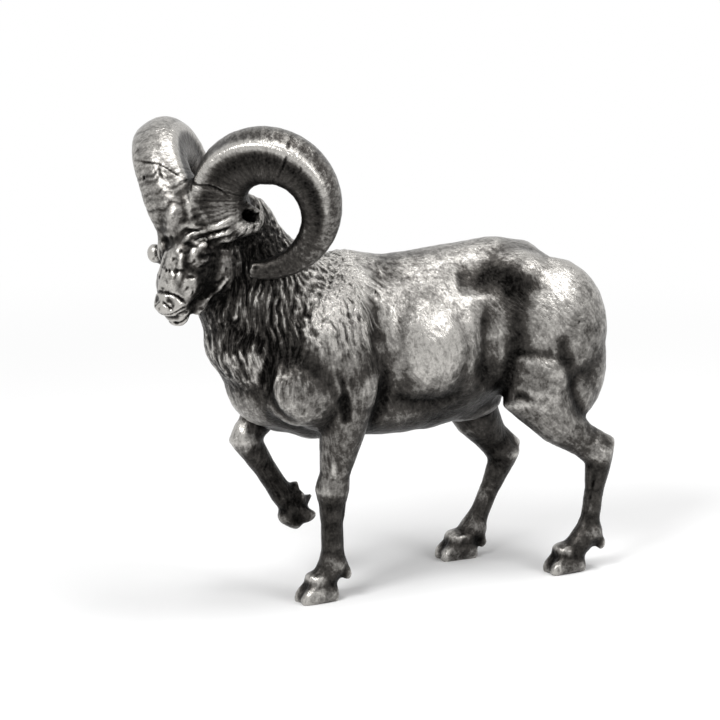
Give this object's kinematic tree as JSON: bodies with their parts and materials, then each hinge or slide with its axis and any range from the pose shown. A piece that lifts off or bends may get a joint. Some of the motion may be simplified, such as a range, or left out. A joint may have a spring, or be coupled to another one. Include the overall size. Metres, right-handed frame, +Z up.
{
  "type": "ram figurine",
  "caption": "Cast metal figurine of a walking ram with a raised foreleg, a turned head and heavy curled horns, made to stand on a shelf or desk.",
  "frame": {"origin": "on the ground, under the middle of the bounding box", "axes": "+Z up, -X the way the ram walks, -Y its left side"},
  "size_m": [0.1034, 0.0478, 0.1023],
  "materials": {
    "oxidised_pewter": "antique silver: dark in the recesses, worn bright on the high places"
  },
  "bodies": {
    "root": {"ram": "oxidised_pewter"}
  },
  "joints": []
}
